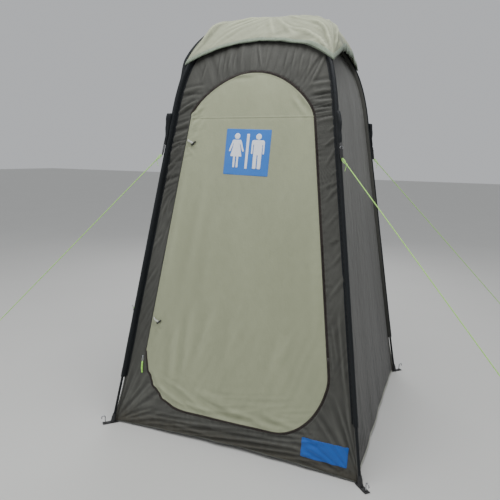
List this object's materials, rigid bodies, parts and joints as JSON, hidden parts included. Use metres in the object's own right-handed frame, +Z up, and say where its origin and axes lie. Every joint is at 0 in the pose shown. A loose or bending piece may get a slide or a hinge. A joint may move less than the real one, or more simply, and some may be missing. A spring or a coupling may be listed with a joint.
{
  "type": "toilet tent",
  "caption": "Small square pole tent with a zipped door flap, mesh roof under a cap, guy lines and pegs, for changing or a camp toilet.",
  "frame": {"origin": "on the ground, midway between the four pole feet", "axes": "+Z up, the door faces -Y, +X to the right seen from outside the door"},
  "size_m": [3.2788, 1.9608, 2.0072],
  "materials": {
    "sage_cloth": "coated polyester, pale sage green, matt",
    "charcoal_cloth": "coated polyester, dark olive grey, slight sheen",
    "mesh": "fine black insect mesh",
    "black_cloth": "black polyester sleeve and webbing",
    "fibreglass": "black fibreglass rod, satin",
    "black_plastic": "moulded black plastic",
    "neon_line": "braided neon yellow-green cord",
    "blue_print": "printed cloth, mid blue, satin",
    "steel": "zinc plated wire",
    "zip": "dark brown coil zip"
  },
  "bodies": {
    "tent": {"pole_leg_front_left": "fibreglass", "pole_leg_front_right": "fibreglass", "pole_leg_back_left": "fibreglass", "pole_leg_back_right": "fibreglass", "pole_arch_over": "fibreglass", "pole_arch_under": "fibreglass", "pole_sleeve_front_left": "black_cloth", "pole_sleeve_front_right": "black_cloth", "pole_sleeve_back_left": "black_cloth", "pole_sleeve_back_right": "black_cloth", "left_wall": "charcoal_cloth", "right_wall": "charcoal_cloth", "back_wall": "charcoal_cloth", "front_wall_left": "charcoal_cloth", "front_wall_right": "charcoal_cloth", "front_wall_over_door": "charcoal_cloth", "front_wall_under_door": "charcoal_cloth", "roof_mesh": "mesh", "roof_cap": "sage_cloth", "door_hinge_cord": "charcoal_cloth", "door_zip": "zip", "wall_label": "blue_print", "zip_puller": "steel", "guy_point_front_left": "black_cloth", "guy_point_front_right": "black_cloth", "guy_point_back_left": "black_cloth", "guy_point_back_right": "black_cloth", "guy_line_front_left": "neon_line", "guy_line_front_right": "neon_line", "guy_line_back_left": "neon_line", "guy_line_back_right": "neon_line", "guy_runner_front_left": "black_plastic", "guy_runner_front_right": "black_plastic", "guy_runner_back_left": "black_plastic", "guy_runner_back_right": "black_plastic", "guy_peg_front_left": "steel", "guy_peg_front_right": "steel", "guy_peg_back_left": "steel", "guy_peg_back_right": "steel", "corner_foot_front_left": "black_plastic", "corner_foot_front_right": "black_plastic", "corner_foot_back_left": "black_plastic", "corner_foot_back_right": "black_plastic"},
    "door": {"door_flap": "sage_cloth", "door_sign": "blue_print", "door_toggle_upper": "black_plastic", "door_toggle_lower": "black_plastic"}
  },
  "joints": [
    {"name": "door_swing", "type": "hinge", "parent": "tent", "child": "door", "pos_m": [-0.466, -0.54758, 0.4], "axis": [-0.1404, -0.1464, -0.9792], "range_deg": [0, 120]}
  ]
}
